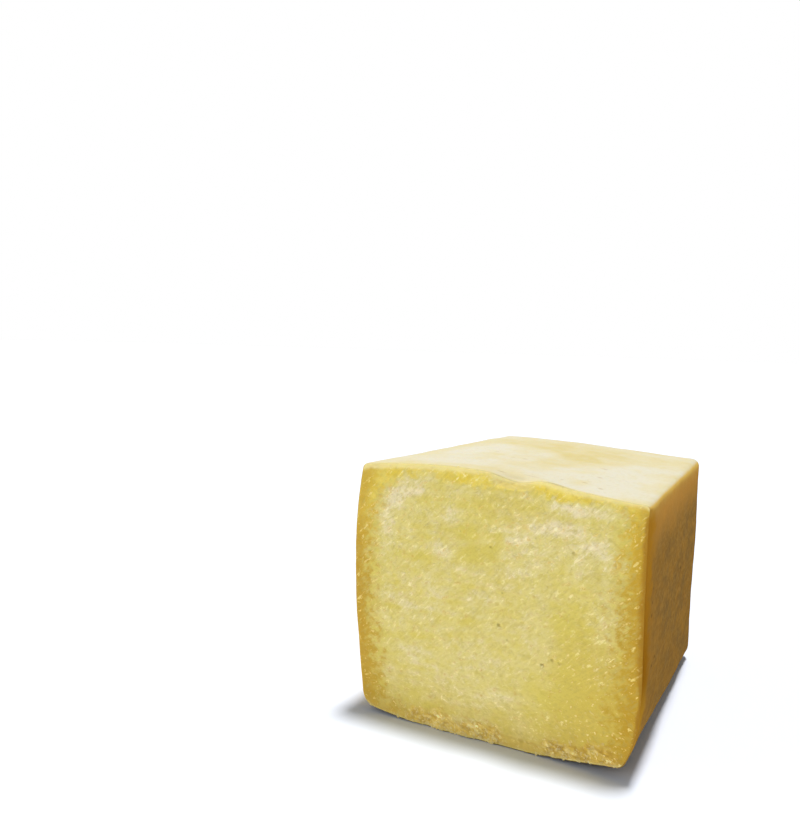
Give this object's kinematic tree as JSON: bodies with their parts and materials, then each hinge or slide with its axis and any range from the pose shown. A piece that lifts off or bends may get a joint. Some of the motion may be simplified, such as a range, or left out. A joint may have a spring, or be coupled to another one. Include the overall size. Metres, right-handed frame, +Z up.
{
  "type": "caciocavallo cheese chunk",
  "caption": "Half of a block-shaped pulled-curd cheese loaf, standing on its side with the knife-cut face of pale yellow paste to the front and golden rind all round.",
  "frame": {"origin": "on the ground, under the middle of the piece's bounding box", "axes": "-Y points out of the knife-cut face and +Y along the loaf to its rind end, +X is to the right as seen from the cut, +Z is up"},
  "size_m": [0.1834, 0.2274, 0.1671],
  "materials": {
    "cheese": null
  },
  "bodies": {
    "root": {"cheese_chunk": "cheese"}
  },
  "joints": []
}
